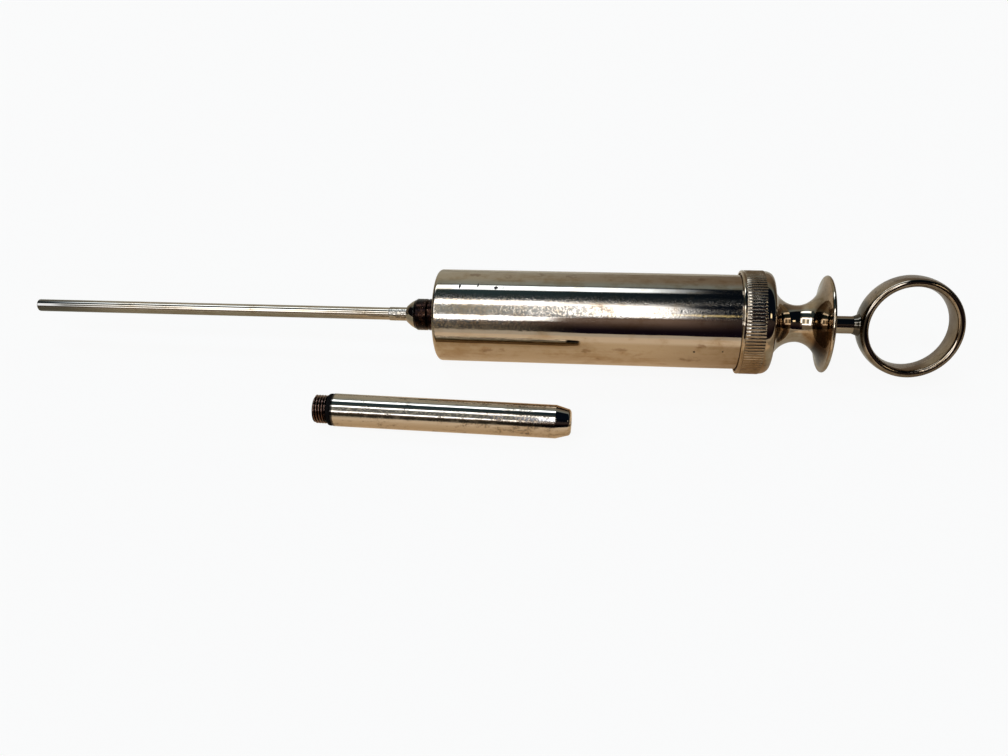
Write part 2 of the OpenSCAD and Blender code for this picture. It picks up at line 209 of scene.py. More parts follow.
def plated(name, seed, tarnish=0.5, blotch=0.5, haze=0.5, drawn=1, area=None, tint=(1, 1, 1, 1)):
    """Aged nickel plate: warm tarnish in clouds, brown blotches, pits, worn hazy patches."""
    finish = Finish(name, {"Metallic": 1})
    vector, (x, y, z) = finish.place()
    around = finish.turn(y, z)
    clouds = finish.noise(vector, 13, 4, (drawn, 1, 1), 0.6, seed)
    spots = finish.noise(vector, 3.2, 4, (drawn ** 0.5, 1, 1), 0.62, seed + 3)
    grain = finish.noise(vector, 0.7, 3, (1, 1, 1), 0.65, seed + 5)
    lines = finish.noise(vector, 0.8, 2, (14, 1, 1), 0.5, seed + 7)
    waves = finish.noise(vector, 20, 2, (2, 1, 1), 0.4, seed + 9)
    worn = (clouds * 0.35 + spots * 0.45 + lines * 0.2).rise(0.58 - 0.24 * haze, 0.68 - 0.24 * haze)
    if area:
        worn = worn * area(x, around)
    tan_share = (clouds * 0.5 + spots * 0.35 + lines * 0.15).rise(0.60 - 0.3 * tarnish, 0.76 - 0.3 * tarnish)
    brown_share = (spots * 0.65 + grain * 0.15 + clouds * 0.2).rise(0.66 - 0.1 * blotch, 0.76 - 0.1 * blotch)
    pit_share = (grain * 0.5 + spots * 0.5).rise(0.665, 0.69)
    color = finish.mix(tan_share, CLEAN_NICKEL, WARM_TARNISH)
    color = finish.mix(brown_share * 0.6, color, BROWN_BLOTCH)
    color = finish.mix(worn * grain.rise(0.45, 0.55) * 0.7, color, WORN_SPECK)
    color = finish.mix(pit_share * 0.7, color, BLACK_PIT)
    color = finish.mix(1, color, tint, "MULTIPLY")
    rough = 0.05 + 0.03 * tan_share + 0.08 * brown_share + worn * (0.03 + 0.12 * grain.rise(0.42, 0.58))
    normal = finish.bump(waves, 0.07)
    normal = finish.bump(lines, 0.010, 0.4, normal)
    normal = finish.bump(grain * worn, 0.04, haze, normal)
    finish.set(Base_Color=color, Roughness=rough, Normal=normal)
    finish.parts = {"x": x, "y": y, "z": z, "around": around, "color": color, "rough": rough,
                    "grain": grain, "spots": spots}
    return finish


def marks(finish, places, radius):
    """Small marks, each as (place, angle, half length, half width), with ragged edges."""
    total = None
    ragged = finish.parts["grain"] * 1.6 + 0.2
    for mark_x, angle, half_l, half_w in places:
        along = (finish.parts["x"] - mark_x) / half_l
        across = (finish.parts["around"] - angle) * (radians(1) * radius / half_w)
        share = 1 - ((along * along + across * across) ** 0.5 * ragged).rise(0.55, 1.1)
        total = share if total is None else total.math("MAXIMUM", share)
    return total


def barrel_wear(x, around):
    """Where the barrel is hazy: on its shoulder, most of all toward the front."""
    shoulder = around.band(-52.5, -38.8, 1) * (1 - x.rise(-10, 25) * 0.7)
    lower = around.band(-70, -57, 1.5) * (1 - x.rise(-45, 10))
    return shoulder + lower * 1.3 + around.band(-33.5, -26, 3) * 1.5


barrel = turned(
    "barrel_shell",
    [(BOSS_RIM_R, BARREL_FRONT)]
    + arc(BARREL_R - FRONT_ROUND, BARREL_FRONT + FRONT_ROUND, FRONT_ROUND, FRONT_ROUND, -90, 0, 14)
    + [(BARREL_R, x) for x in (-40, -20, 0, 20, 40)]
    + [(BARREL_R - 0.05, SEAT_START - 0.05), (SEAT_R, SEAT_START), (SEAT_R, MOUTH), (BORE_R, MOUTH)]
    + [(BORE_R, x) for x in (30, 0, -30)]
    + arc(BORE_R - INNER_ROUND, FRONT_INSIDE + INNER_ROUND, INNER_ROUND, INNER_ROUND, 0, -90, 6)
    + [(BOSS_RIM_R, FRONT_INSIDE)],
    steps=192,
)
barrel_nickel = plated("barrel_nickel", 1.3, tarnish=0.5, blotch=0.55, haze=0.9, drawn=1.8, area=barrel_wear)
parts = barrel_nickel.parts
smudged = marks(barrel_nickel, BARREL_SMUDGES, BARREL_R) * parts["spots"].rise(0.40, 0.58)
pitted = marks(barrel_nickel, BARREL_PITS, BARREL_R)
color = barrel_nickel.mix(smudged * 0.5, parts["color"], BROWN_BLOTCH)
color = barrel_nickel.mix(pitted, color, BLACK_PIT)
barrel_nickel.set(Base_Color=color, Roughness=parts["rough"] + 0.1 * smudged + 0.3 * pitted)
barrel_nickel.wear(barrel)
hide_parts("barrel")
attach(barrel, "barrel")

# Boss in the barrel's front
# A turned brass bush brazed into the closed front and tapped for the pipe and the nozzles.
# Only its rim shows, round the washer; inside the barrel it keeps the colour of machined brass.
BOSS_R = 9
BOSS_BORE_R = 4.85
BOSS_BACK = -46.1
MACHINED_BRASS = (0.62, 0.42, 0.17, 1)
DULL_BRASS = (0.30, 0.17, 0.07, 1)
boss = turned(
    "boss_bush",
    [(BOSS_BORE_R, BARREL_FRONT), (6.05, BARREL_FRONT), (BOSS_RIM_R, BARREL_FRONT + 0.08)]
    + [(BOSS_RIM_R, FRONT_INSIDE), (BOSS_R, FRONT_INSIDE), (BOSS_R, BOSS_BACK - 1)]
    + [(BOSS_R - 1, BOSS_BACK), (BOSS_BORE_R, BOSS_BACK)],
    steps=96,
)
raw_brass = Finish("machined_brass", {"Metallic": 1})
vector = raw_brass.place()[0]
tool = raw_brass.noise(vector, 0.25, 2, (0.2, 6, 6), 0.5, 2)
haze = raw_brass.noise(vector, 6, 4, (1, 1, 1), 0.6, 4)
raw_brass.set(
    Base_Color=raw_brass.mix(haze.rise(0.4, 0.7), MACHINED_BRASS, DULL_BRASS),
    Roughness=0.18 + 0.22 * haze,
    Normal=raw_brass.bump(tool, 0.01),
)
raw_brass.wear(boss)
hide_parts("nozzle_boss")
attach(boss, "barrel")

# Threaded collar
# A brass ring soldered into a seat round the barrel's open end, with the thread that the cap screws on.
# It shows only when the cap is unscrewed: bright crests on dull brass.
COLLAR_R = 16.3
CAP_PITCH = 1.27
COLLAR_CUT = 0.1
THREAD_DIRT = (0.16, 0.09, 0.04, 1)
THREAD_BRASS = (0.55, 0.36, 0.15, 1)


def thread(name, start, end, root, crest, pitch, steps=72, cut=0.3):
    """A screw thread about X between two places, swept by the Screw modifier."""
    bpy.ops.object.select_all(action="DESELECT")
    bpy.ops.mesh.primitive_plane_add(size=MM)
    ridge = bpy.context.object
    ridge.name = name
    ridge.data.name = name
    bpy.ops.object.mode_set(mode="EDIT")
    bpy.ops.mesh.merge(type="CENTER")
    bpy.ops.transform.translate(value=((start - pitch) * MM, 0, root * MM))
    flat = pitch / 10
    flank = pitch / 2 - 1.5 * flat
    rise = crest - root
    for along, up in ((flat, 0), (flank, rise), (flat, 0), (flank, -rise), (flat, 0)):
        bpy.ops.mesh.extrude_region_move(TRANSFORM_OT_translate={"value": (along * MM, 0, up * MM)})
    bpy.ops.object.mode_set(mode="OBJECT")
    screw = ridge.modifiers.new("screw", "SCREW")
    screw.axis = "X"
    screw.iterations = int((end - start) / pitch) + 3
    screw.screw_offset = pitch * MM
    screw.steps = steps
    screw.render_steps = steps
    screw.use_merge_vertices = True
    screw.merge_threshold = WELD
    bpy.ops.object.modifier_apply(modifier="screw")
    bpy.ops.object.mode_set(mode="EDIT")
    bpy.ops.mesh.select_all(action="SELECT")
    bpy.ops.mesh.remove_doubles(threshold=WELD)
    for place, keep_far in ((start, True), (end, False)):
        bpy.ops.mesh.select_all(action="SELECT")
        bpy.ops.mesh.bisect(plane_co=(place * MM, 0, 0), plane_no=(1, 0, 0), use_fill=False,
                            clear_inner=keep_far, clear_outer=not keep_far, threshold=1e-7)
    bpy.ops.mesh.select_all(action="SELECT")
    bpy.ops.mesh.normals_make_consistent(inside=False)
    bpy.ops.object.mode_set(mode="OBJECT")
    for point in ridge.data.vertices:
        along = point.co.x / MM
        most = crest - max(0, cut - (along - start), cut - (end - along))
        radius = (point.co.y ** 2 + point.co.z ** 2) ** 0.5 / MM
        if radius > most:
            point.co.y *= most / radius
            point.co.z *= most / radius
    bpy.ops.object.shade_smooth_by_angle(angle=radians(30))
    return ridge


collar = turned(
    "collar_ring",
    [(SEAT_R, SEAT_START), (COLLAR_R - COLLAR_CUT, SEAT_START), (COLLAR_R, SEAT_START + COLLAR_CUT)]
    + [(COLLAR_R, MOUTH - COLLAR_CUT), (COLLAR_R - COLLAR_CUT, MOUTH), (SEAT_R, MOUTH)],
)
collar_thread = thread(
    "collar_thread", SEAT_START + COLLAR_CUT, MOUTH - COLLAR_CUT, 16.25, 16.52, CAP_PITCH, steps=120
)
worn_thread = Finish("worn_thread", {"Metallic": 1})
vector, (x, y, z) = worn_thread.place()
haze = worn_thread.noise(vector, 3, 4, (1, 1, 1), 0.6, 8)
height = (y * y + z * z) ** 0.5
worn_thread.set(
    Base_Color=worn_thread.mix(height.rise(16.36, 16.5), THREAD_DIRT, THREAD_BRASS),
    Roughness=0.25 + 0.2 * haze,
    Normal=worn_thread.bump(haze, 0.01),
)
worn_thread.wear(collar, collar_thread)
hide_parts("thread_collar")
for piece in (collar, collar_thread):
    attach(piece, "barrel")

# Screw cap
# Spun brass, nickel plated: a plain bead in front, a straight knurl of 96 ridges, a smooth shoulder.
# The ridges are rubbed bright on their tops and hold dark grime between them.
CAP_FRONT = 51.7
CAP_INSIDE = 60.9
CAP_BACK = 62.5
CAP_BORE_R = 16.6
SPIGOT_R = 6
BEAD_R = 17.55
BEAD_EDGE = 0.5
KNURL = 96
KNURL_START = 52.8
KNURL_END = 59.3
KNURL_R = 17.36
RIDGE_FOOT_R = 17.37
RIDGE_H = 0.19
SHOULDER_L = 3.2
KNURL_GRIME = (0.09, 0.06, 0.04, 1)
cap = turned(
    "cap_shell",
    [(CAP_BORE_R, CAP_FRONT)]
    + arc(BEAD_R - BEAD_EDGE, CAP_FRONT + BEAD_EDGE, BEAD_EDGE, BEAD_EDGE, -90, 0, 8)
    + [(BEAD_R, 52.62), (17.5, 52.72), (17.35, KNURL_START), (17.35, 52.9)]
    + [(KNURL_R, x) for x in (53.1, 54.6, 56.2, 57.8, 59.1)]
    + [(17.35, 59.25)]
    + arc(15.25, KNURL_END, 2.14, SHOULDER_L, 1, 90, 16)
    + [(10, CAP_BACK), (SPIGOT_R, CAP_BACK), (SPIGOT_R, CAP_INSIDE), (CAP_BORE_R, CAP_INSIDE)],
    steps=KNURL * 6,
    smooth=40,
)
for point in cap.data.vertices:
    along = point.co.x / MM
    radius = (point.co.y ** 2 + point.co.z ** 2) ** 0.5 / MM
    sway = 0.10 * sin(along * 1.7 + atan2(point.co.y, point.co.z) * 5)
    turn = atan2(point.co.y, point.co.z) / (2 * pi) * KNURL + sway
    fade = max(0, min(1, (along - KNURL_START) / 0.2, (KNURL_END - along) / 0.15))
    if 17.2 < radius < 17.4 and KNURL_START + 0.05 < along < KNURL_END - 0.02:
        factor = (RIDGE_FOOT_R + RIDGE_H * fade * (0.5 + 0.5 * cos(2 * pi * turn))) / radius
        point.co.y *= factor
        point.co.z *= factor
cap_nickel = plated("cap_nickel", 7.1, tarnish=0.6, blotch=0.4, haze=0.15, tint=(0.94, 0.92, 0.88, 1))
parts = cap_nickel.parts
radius = (parts["y"] * parts["y"] + parts["z"] * parts["z"]) ** 0.5
groove = (1 - radius.rise(17.38, 17.55)) * parts["x"].band(52.78, KNURL_END, 0.06)
groove = groove * radius.rise(16.9, 17.1)
cap_nickel.set(
    Base_Color=cap_nickel.mix(groove * 0.4, parts["color"], KNURL_GRIME),
    Roughness=parts["rough"] + groove * 0.2,
)
cap_nickel.wear(cap)
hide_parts("screw_cap")
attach(cap, "cap")

# Finger grip
# A waisted spool turned from brass, soldered into the cap's end and nickel plated.
# It was polished like a mirror on the lathe; black is painted inside its flange, strongest on its lower
# front, as a painted reflection of the shaded cap and room.
GRIP_BORE_R = 3.0
FOOT_R = 14.5
FOOT_SLOPE = 82
WAIST_R = 6.2
WAIST_X = 71.2
RIM_SLOPE = 80
RIM_R = 15.46
RIM_X = 80.5
RIM_HALF = 0.7
RIM_ROUND = 0.84
HOLE_EDGE_R = 4.2
GRIP_BACK = 82.2
FLANGE_PAINTED_REFLECTION_BLACK = (0.022, 0.009, 0.006, 1)


def flare(rim_r, slope):
    """Height of the oval arc that leaves the waist and meets a rim at a slope in degrees."""
    return (rim_r - WAIST_R) / (1 - cos(radians(slope)))


foot = flare(FOOT_R, FOOT_SLOPE)
foot_l = (WAIST_X - CAP_BACK) / sin(radians(FOOT_SLOPE))
bell = flare(RIM_R, RIM_SLOPE)
bell_l = (RIM_X - RIM_HALF - WAIST_X) / sin(radians(RIM_SLOPE))
grip = turned(
    "grip_spool",
    [(GRIP_BORE_R, CAP_INSIDE), (SPIGOT_R, CAP_INSIDE), (SPIGOT_R, CAP_BACK), (FOOT_R, CAP_BACK)]
    + arc(WAIST_R + foot, WAIST_X, foot, foot_l, FOOT_SLOPE - 180, -180, 26)
    + arc(WAIST_R + bell, WAIST_X, bell, bell_l, 180, 180 - RIM_SLOPE, 26)[1:]
    + arc(RIM_R, RIM_X, RIM_ROUND, RIM_HALF, -90, 90, 14)[1:]
    + [(RIM_R + (HOLE_EDGE_R - RIM_R) * i / 8, GRIP_BACK - (1 - i / 8) ** 2) for i in range(1, 9)]
    + [(GRIP_BORE_R + 0.2, GRIP_BACK), (GRIP_BORE_R, GRIP_BACK - 0.15)],
    steps=192,
)
grip_nickel = plated("grip_nickel", 12.4, tarnish=0.6, blotch=0.4, haze=0.12, tint=(0.95, 0.92, 0.88, 1))
parts = grip_nickel.parts
radius = (parts["y"] * parts["y"] + parts["z"] * parts["z"]) ** 0.5
flared = parts["x"].rise(73.5, 77) * (1 - parts["x"].rise(79.6, 79.9))
below = 1 - parts["around"].rise(-66, -56) * 0.75
# Painted reflection: black painted on the flange's inner face, most on the lower front, for the shaded cap
# and room it mirrors.
painted_dark_reflection = flared * (1 - (radius + 5 * parts["spots"]).rise(14.5, 18)) * radius.rise(7.5, 9) * below
grip_nickel.set(Base_Color=grip_nickel.mix(painted_dark_reflection * 0.93, parts["color"], FLANGE_PAINTED_REFLECTION_BLACK))
grip_nickel.wear(grip)
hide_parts("finger_grip")
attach(grip, "cap")

# Plunger rod
# A drawn rod, stepped down in front to the stem that carries the piston.
# Nickel plated and polished, and a little darker than the barrel.
ROD_R = 2.95
ROD_BACK = 92.025
STEM_R = 2.2
STEM_FRONT = -45.8
STEM_BACK = -32.3
rod = turned(
    "rod_bar",
    [(0, STEM_FRONT), (STEM_R - 0.3, STEM_FRONT), (STEM_R, STEM_FRONT + 0.3), (STEM_R, STEM_BACK)]
    + [(ROD_R, STEM_BACK), (ROD_R, 20), (ROD_R, ROD_BACK), (0, ROD_BACK)],
    steps=96,
)
rod_nickel = plated("rod_nickel", 15.2, blotch=0.35, haze=0.3, drawn=3, tint=(0.8, 0.77, 0.72, 1))
rod_nickel.wear(rod)
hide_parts("plunger_rod")
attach(rod, "plunger")

# Thumb ring
# A ring of oval brass bar, brazed to the rod's end in a stepped neck and nickel plated.
# The plate is darkened, most of all on the neck.
RING_X = 108.1
RING_R = 15.25
RING_TURN = radians(64.6)
NECK_R = 3.85
NECK_FRONT = 89.7
NECK_BACK = 92.85
NECK_DARK = (0.045, 0.038, 0.028, 1)


def oval(middle, half_r, half_w, edge, parts=12):
    """Outline of the ring's bar: four arcs, long along the ring's axis."""
    side = (half_r ** 2 + (half_w - edge) ** 2 - edge ** 2) / (2 * (half_r - edge))
    reach = degrees(asin((half_w - edge) / (side - edge)))
    flank = [(middle + half_r - side + side * cos(radians(a)), side * sin(radians(a)))
             for a in [-reach + 2 * reach * i / parts for i in range(parts + 1)]]
    end = [(middle + edge * cos(radians(a)), half_w - edge + edge * sin(radians(a)))
           for a in [reach + (180 - 2 * reach) * i / 8 for i in range(1, 8)]]
    other = [(2 * middle - r, -x) for r, x in flank]
    back = [(2 * middle - r, -x) for r, x in end]
    return flank + end + other + back


ring = turned("ring_bar", oval(RING_R, half_r=1.65, half_w=5.2, edge=1.35, parts=20), steps=240)
upright = Matrix.Rotation(RING_TURN, 4, "X") @ Matrix.Rotation(-pi / 2, 4, "Y")
ring.matrix_world = Matrix.Translation((RING_X * MM, 0, 0)) @ upright
bpy.ops.object.transform_apply(location=True, rotation=True, scale=False)
neck = turned(
    "ring_neck",
    [(ROD_R, NECK_FRONT), (3.05, 89.75), (3.2, 90.3), (3.5, 90.9), (NECK_R, 91.5), (NECK_R, NECK_BACK)]
    + [(0, NECK_BACK), (0, ROD_BACK), (ROD_R, ROD_BACK)],
    steps=96,
)
ring_nickel = plated("ring_nickel", 19.7, tarnish=0.7, blotch=0.5, haze=0.3, tint=(0.7, 0.66, 0.62, 1))
parts = ring_nickel.parts
neck_dark = parts["x"].band(85, 93.4, 0.6) * 0.85
ring_nickel.set(Base_Color=ring_nickel.mix(neck_dark, parts["color"], NECK_DARK))
ring_nickel.wear(ring, neck)
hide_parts("ring_handle")
for piece in (ring, neck):
    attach(piece, "plunger")

# Piston and gasket inside
# Two cup leathers back to back between brass plates, clamped by a hexagon nut on the rod's stem.
# They stay inside the barrel, and the leather gasket inside the cap, so the solids carry their finish.
LEATHER_TAN = (0.20, 0.085, 0.03, 1)
LEATHER_OILED = (0.07, 0.03, 0.014, 1)
leather = Finish("oiled_leather", {"Metallic": 0, "Specular IOR Level": 0.35})
vector = leather.place()[0]
pores = leather.noise(vector, 0.5, 4, (1, 1, 1), 0.7, 3)
oil = leather.noise(vector, 5, 4, (1, 1, 1), 0.6, 6)
leather.set(
    Base_Color=leather.mix(oil.rise(0.35, 0.65), LEATHER_TAN, LEATHER_OILED),
    Roughness=0.4 + 0.3 * pores,
    Normal=leather.bump(pores, 0.06),
)
for node in ("piston_nut", "piston_front_plate", "piston_spacer", "piston_rear_plate"):
    raw_brass.wear(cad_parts[node])
for node in ("front_leather", "rear_leather", "cap_gasket"):
    leather.wear(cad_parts[node])

# Dosing pipe
# A thin drawn tube with a rounded open tip, nickel plated, in a solder sleeve where it leaves its hub.
# Drawn lines run along it, and toward the tip the plate is painted darker, as painted shade for the dark room
# it mirrors there.
PIPE_R = 2.2
PIPE_BORE_R = 1.5
PIPE_SEAT_R = 2
PIPE_TIP = -204.9
PIPE_LIP = 0.35
PIPE_BACK = -56.5
SLEEVE_R = 2.4
SLEEVE_FRONT = -70
HUB_FRONT = -63.5
TIP_PAINTED_SHADE = (0.06, 0.06, 0.055, 1)
pipe = turned(
    "pipe_tube",
    arc(PIPE_BORE_R + PIPE_LIP, PIPE_TIP + PIPE_LIP, PIPE_LIP, PIPE_LIP, -180, 0, 10)
    + [(PIPE_R, x) for x in (-180, -150, -120, -90, SLEEVE_FRONT)]
    + [(PIPE_SEAT_R, SLEEVE_FRONT), (PIPE_SEAT_R, PIPE_BACK), (PIPE_BORE_R, PIPE_BACK)],
    steps=64,
)
pipe_nickel = plated("pipe_nickel", 23.1, tarnish=0.5, blotch=0.4, haze=0.2, drawn=4)
# Painted shade: the plate darkens toward the tip, for the dark room it mirrors there.
tip = 1 - pipe_nickel.parts["x"].rise(-200, -165)
pipe_nickel.set(Base_Color=pipe_nickel.mix(tip * 0.75, pipe_nickel.parts["color"], TIP_PAINTED_SHADE))
pipe_nickel.wear(pipe)
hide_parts("dosing_pipe")
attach(pipe, "pipe")

sleeve = turned(
    "solder_sleeve_ring",
    [(PIPE_SEAT_R, SLEEVE_FRONT), (2.3, SLEEVE_FRONT), (SLEEVE_R, SLEEVE_FRONT + 0.2)]
    + [(SLEEVE_R, HUB_FRONT), (PIPE_SEAT_R, HUB_FRONT)],
    steps=64,
)
solder = plated("solder_plate", 27.5, tarnish=0.4, blotch=0.6, haze=0.9)
solder.wear(sleeve)
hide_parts("solder_sleeve")
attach(sleeve, "pipe")

# Hub
# The pipe's brass hub: a polished rounded nose, then a grooved collar under dark brown patina.
# Nickel is left on the nose; the collar is mottled black and brown with coppery rubbed spots.
HUB_R = 5.55
HUB_BACK = -53.7
RELIEF_R = 4.05
SCREW_CORE_R = 4.28
SCREW_ROOT_R = 4.25
SCREW_PITCH = 25.4 / 27
PATINA_BLACK = (0.005, 0.003, 0.003, 1)
PATINA_BROWN = (0.032, 0.013, 0.007, 1)
RUBBED_COPPER = (0.55, 0.30, 0.18, 1)
NOSE_NICKEL = (0.42, 0.34, 0.25, 1)
hub = turned(
    "hub_collar",
    [(PIPE_SEAT_R, PIPE_BACK), (PIPE_SEAT_R, HUB_FRONT)]
    + [(2.85 + 2.4 * (t + 0.12 * sin(pi * t)), HUB_FRONT + 3.6 * t) for t in [i / 14 for i in range(15)]]
    + [(5.47, -59.68), (HUB_R, -59.5), (HUB_R, -56.1), (HUB_R - 0.4, -55.7), (HUB_R, -55.3)]
    + [(HUB_R, HUB_BACK - 0.1), (HUB_R - 0.1, HUB_BACK), (RELIEF_R, HUB_BACK), (RELIEF_R, BARREL_FRONT)]
    + [(SCREW_CORE_R, -51.4), (SCREW_CORE_R, -47), (RELIEF_R, -46.7), (PIPE_BORE_R, -46.7)]
    + [(PIPE_BORE_R, PIPE_BACK)],
    steps=128,
)
patina = Finish("brown_patina", {"Metallic": 1})
vector, (x, y, z) = patina.place()
mottle = patina.noise(vector, 2.2, 5, (1, 1, 1), 0.7, 4)
fleck = patina.noise(vector, 0.6, 3, (1, 1, 1), 0.6, 7)
nose = 1 - x.rise(-60.7, -60.3)
color = patina.mix(mottle.rise(0.42, 0.62), PATINA_BLACK, PATINA_BROWN)
color = patina.mix((mottle * 0.4 + fleck * 0.6).rise(0.60, 0.68), color, RUBBED_COPPER)
color = patina.mix(nose * x.rise(-66, -65), color, NOSE_NICKEL)
patina.set(
    Base_Color=color,
    Roughness=(0.16 + 0.24 * fleck) * (1 - 0.8 * nose),
    Normal=patina.bump(mottle * 0.6 + fleck * 0.4, 0.05, 0.5),
)
hub_screw = thread("hub_thread", -51.35, -46.75, SCREW_ROOT_R, 4.78, SCREW_PITCH)
patina.wear(hub, hub_screw)
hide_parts("pipe_hub")
for piece in (hub, hub_screw):
    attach(piece, "pipe")

# Pipe washer
# A thick leather washer, squeezed between the hub and the barrel's front so that its edge bulges.
# Oil and age have turned it nearly black and dull.
WASHER_R = 5.25
WASHER_BULGE = 0.2
LEATHER_BLACK = (0.003, 0.003, 0.003, 1)
LEATHER_RUBBED = (0.012, 0.008, 0.006, 1)
pipe_washer = turned(
    "washer_leather_ring",
    [(4.1, HUB_BACK), (WASHER_R, HUB_BACK)]
    + arc(WASHER_R, (HUB_BACK + BARREL_FRONT) / 2, WASHER_BULGE, 1, -90, 90, 8)[1:]
    + [(4.1, BARREL_FRONT)],
    steps=96,
)
washer_leather = Finish("black_leather", {"Metallic": 0, "IOR": 1.08})
vector = washer_leather.place()[0]
fibre = washer_leather.noise(vector, 0.4, 4, (1, 1, 1), 0.7, 5)
washer_leather.set(
    Base_Color=washer_leather.mix(fibre.rise(0.4, 0.7), LEATHER_BLACK, LEATHER_RUBBED),
    Roughness=0.5 + 0.3 * fibre,
    Normal=washer_leather.bump(fibre, 0.05),
)
washer_leather.wear(pipe_washer)
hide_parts("pipe_washer")
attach(pipe_washer, "pipe_seal")

# Spare nozzle
# A short fat nozzle for another dose: nickel-plated tube, blunt nose with a small outlet, brass screw.
# It lies loose on the bench; its screw is dark with coppery crests, its washer black leather.
BENCH_TILT = radians(0.9168765)
NOZZLE_TURN = radians(-0.31)
NOZZLE_X = -81.8
NOZZLE_Y = -40.6
NOZZLE_Z = -9.993573
NOZZLE_R = 5.5
NOZZLE_BORE_R = 4.7
NOZZLE_L = 74.5
OUTLET_R = 1.45
SCREW_BORE_R = 2.5
SCREW_FRONT = -6.5
WASHER_T = 1.5
NOZZLE_BACK_PAINTED_SHADE = (0.15, 0.11, 0.06, 1)
MOTTLE_GREY = (0.09, 0.085, 0.085, 1)
LOW_BAND_PAINTED_REFLECTION = (0.02, 0.018, 0.012, 1)
EDGE_BLACK = (0.012, 0.010, 0.010, 1)
SCREW_DIRT = (0.008, 0.005, 0.004, 1)
SCREW_COPPER = (0.22, 0.125, 0.085, 1)


def lay(piece):
    """Lays a piece of the nozzle, turned at the origin, on the bench."""
    bpy.ops.object.select_all(action="DESELECT")
    piece.select_set(True)
    bpy.context.view_layer.objects.active = piece
    laid = Matrix.Rotation(BENCH_TILT, 4, "Y") @ Matrix.Rotation(NOZZLE_TURN, 4, "Z")
    piece.matrix_world = Matrix.Translation((NOZZLE_X * MM, NOZZLE_Y * MM, NOZZLE_Z * MM)) @ laid
    bpy.ops.object.transform_apply(location=True, rotation=True, scale=False)
    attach(piece, "spare_nozzle")


def off_axis(x, y, z):
    """How far a point of the laid nozzle is across and up from the nozzle's own axis."""
    along = x - NOZZLE_X
    return y - NOZZLE_Y - along * tan(NOZZLE_TURN), z - NOZZLE_Z + along * tan(BENCH_TILT)


tube = turned(
    "nozzle_tube_shell",
    [(NOZZLE_BORE_R, 0), (NOZZLE_R - 0.1, 0), (NOZZLE_R, 0.1)]
    + [(NOZZLE_R, x) for x in (20, 40, 60, NOZZLE_L)]
    + [(NOZZLE_BORE_R, NOZZLE_L)],
    steps=128,
)
nose_cap = turned(
    "nozzle_nose_cap",
    [(OUTLET_R, NOZZLE_L - 3), (NOZZLE_BORE_R, NOZZLE_L - 3), (NOZZLE_BORE_R, NOZZLE_L), (NOZZLE_R, NOZZLE_L)]
    + arc(2.95, 78.2, 1.5, 1.2, 0, 90, 12)
    + [(OUTLET_R + 0.15, 79.4), (OUTLET_R, 79.25)],
    steps=128,
)
nozzle_nickel = plated("nozzle_nickel", 31.9, tarnish=0.35, blotch=0.75, haze=0.3, drawn=2)
parts = nozzle_nickel.parts
edge = 1 - (parts["x"] + parts["grain"] * 0.5 - 0.25).rise(NOZZLE_X + 0.5, NOZZLE_X + 0.9)
around = nozzle_nickel.turn(*off_axis(parts["x"], parts["y"], parts["z"]))
ragged = around + parts["grain"] * 10 - 5
mottle = ragged.band(-48, -37, 1.5) * parts["grain"].rise(0.38, 0.52)
# Painted reflection: a ragged black band low on the front flank, for the dark room mirrored there.
painted_dark_band = ragged.band(-66, -56.5, 1.5) * parts["spots"].rise(0.32, 0.5)
# Painted shade: the nozzle's back, facing the barrel, is painted darker for the shadow between them.
color = nozzle_nickel.mix(parts["y"].rise(-38.8, -36.8) * 0.8, parts["color"], NOZZLE_BACK_PAINTED_SHADE)
color = nozzle_nickel.mix(mottle * 0.75, color, MOTTLE_GREY)
color = nozzle_nickel.mix(painted_dark_band * 0.85, color, LOW_BAND_PAINTED_REFLECTION)
nozzle_nickel.set(Base_Color=nozzle_nickel.mix(edge * 0.92, color, EDGE_BLACK))
nozzle_nickel.wear(tube, nose_cap)
screw_core = turned(
    "nozzle_screw_core",
    [(SCREW_BORE_R, 4.5), (NOZZLE_BORE_R, 4.5), (NOZZLE_BORE_R, 0), (RELIEF_R, 0), (RELIEF_R, -WASHER_T)]
    + [(SCREW_CORE_R, -1.8), (SCREW_CORE_R, -6.3), (4.1, SCREW_FRONT), (SCREW_BORE_R, SCREW_FRONT)],
    steps=96,
)
screw_thread = thread("nozzle_thread", -6.45, -1.75, SCREW_ROOT_R, 4.79, SCREW_PITCH)
screw_patina = Finish("screw_patina", {"Metallic": 1})
vector, (x, y, z) = screw_patina.place()
rub = screw_patina.noise(vector, 0.9, 3, (1, 1, 1), 0.6, 11)
across, up = off_axis(x, y, z)
height = (across ** 2 + up ** 2) ** 0.5
crest = (height + rub * 0.2 - 0.1).rise(4.48, 4.68)
screw_patina.set(
    Base_Color=screw_patina.mix(crest, SCREW_DIRT, SCREW_COPPER),
    Roughness=0.10 + 0.2 * rub,
    Normal=screw_patina.bump(rub, 0.02),
)
screw_patina.wear(screw_core, screw_thread)
nozzle_washer = turned(
    "nozzle_washer_ring",
    [(RELIEF_R, -WASHER_T), (5.2, -WASHER_T)]
    + arc(5.2, -WASHER_T / 2, WASHER_BULGE, WASHER_T / 2, -90, 90, 8)[1:]
    + [(RELIEF_R, 0)],
    steps=96,
)
washer_leather.wear(nozzle_washer)
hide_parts("nozzle_tube")
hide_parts("nozzle_nose")
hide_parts("nozzle_screw")
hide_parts("nozzle_washer")
for piece, slot in (
    (tube, "nozzle_nickel"),
    (nose_cap, "nozzle_nickel"),
    (screw_core, "screw_patina"),
    (screw_thread, "screw_patina"),
    (nozzle_washer, "washer_leather"),
):
    lay(piece)

